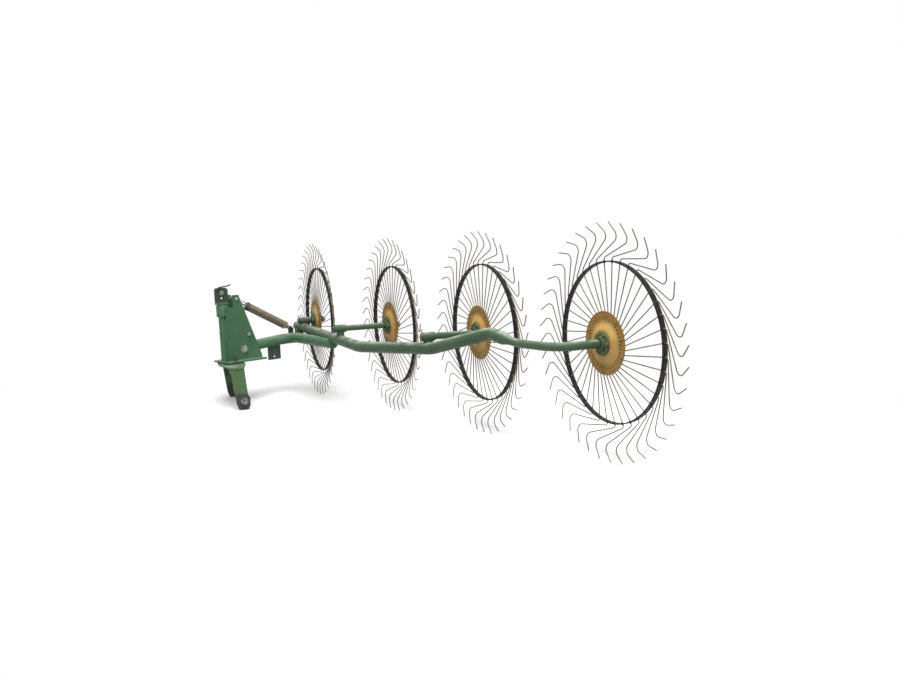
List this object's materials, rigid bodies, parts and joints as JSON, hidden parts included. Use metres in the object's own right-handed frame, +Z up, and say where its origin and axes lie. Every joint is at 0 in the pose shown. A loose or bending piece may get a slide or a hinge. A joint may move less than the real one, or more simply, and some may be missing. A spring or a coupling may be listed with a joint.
{
  "type": "finger wheel rake",
  "caption": "Tractor-mounted hay rake: a swinging tower on a three-point hitch carries a bent boom with slanted free-turning finger wheels of bent spring tines.",
  "frame": {"origin": "middle of the machine's bounding box on the floor", "axes": "+X across towards the outer wheel, +Y back along the main beam, +Z up; the hitch is parked at a turn of 25 degrees to the beam"},
  "size_m": [4.2818, 1.1284, 1.3005],
  "materials": {
    "green_paint": "satin",
    "dark_paint": "satin",
    "hub_paint": "satin",
    "tine_wire": "satin",
    "spring_steel": "satin",
    "plain_steel": "satin",
    "bolt_steel": "satin"
  },
  "bodies": {
    "hitch": {"lower_bracket": "green_paint", "link_pin_left": "plain_steel", "link_pin_right": "plain_steel", "kingpin": "plain_steel", "thrust_washer": "plain_steel", "top_link_clevis": "green_paint", "top_link_ear_left": "dark_paint", "top_link_ear_right": "dark_paint", "top_link_bolt": "bolt_steel"},
    "tower": {"tower_base": "green_paint", "tower_plate_left": "green_paint", "tower_plate_right": "green_paint", "kingpin_housing": "green_paint", "pivot_bolt": "bolt_steel", "stop_bolt": "bolt_steel", "spring_bolt": "bolt_steel", "lock_pin": "plain_steel", "balance_spring": "spring_steel"},
    "boom": {"main_beam": "green_paint", "boom_tube": "green_paint", "boom_saddle": "green_paint", "spring_lug": "dark_paint", "park_bracket": "dark_paint", "axle_arm_1": "green_paint", "axle_arm_2": "green_paint", "axle_arm_3": "green_paint", "axle_arm_4": "green_paint", "axle_sleeve_1": "green_paint", "axle_sleeve_2": "green_paint", "axle_sleeve_3": "green_paint"},
    "wheel_1": {"wheel_1_tines": "tine_wire", "wheel_1_front_disc": "hub_paint", "wheel_1_back_disc": "hub_paint", "wheel_1_boss": "green_paint"},
    "wheel_2": {"wheel_2_tines": "tine_wire", "wheel_2_front_disc": "hub_paint", "wheel_2_back_disc": "hub_paint", "wheel_2_boss": "green_paint"},
    "wheel_3": {"wheel_3_tines": "tine_wire", "wheel_3_front_disc": "hub_paint", "wheel_3_back_disc": "hub_paint", "wheel_3_boss": "green_paint"},
    "wheel_4": {"wheel_4_tines": "tine_wire", "wheel_4_front_disc": "hub_paint", "wheel_4_back_disc": "hub_paint", "wheel_4_boss": "green_paint"}
  },
  "joints": [
    {"name": "boom_swing", "type": "hinge", "parent": "hitch", "child": "tower", "pos_m": [-1.81234, -0.41779, 0.348], "axis": [0, 0, 1], "range_deg": [-30, 45]},
    {"name": "boom_float", "type": "hinge", "parent": "tower", "child": "boom", "pos_m": [-1.81234, -0.28179, 0.447], "axis": [1, 0, 0], "range_deg": [-15, 0], "stiffness_Nm_per_rad": 400, "springref_deg": 28.65, "deforming": ["balance_spring"]},
    {"name": "wheel_1_spin", "type": "hinge", "parent": "boom", "child": "wheel_1", "pos_m": [-1.51534, 0.33421, 0.65027], "axis": [0.4067, 0.9135, 0], "continuous": true},
    {"name": "wheel_2_spin", "type": "hinge", "parent": "boom", "child": "wheel_2", "pos_m": [-0.45834, 0.21621, 0.65027], "axis": [0.4067, 0.9135, 0], "continuous": true},
    {"name": "wheel_3_spin", "type": "hinge", "parent": "boom", "child": "wheel_3", "pos_m": [0.54966, 0.05221, 0.65027], "axis": [0.4067, 0.9135, 0], "continuous": true},
    {"name": "wheel_4_spin", "type": "hinge", "parent": "boom", "child": "wheel_4", "pos_m": [1.56266, -0.10479, 0.65027], "axis": [0.4067, 0.9135, 0], "continuous": true}
  ]
}
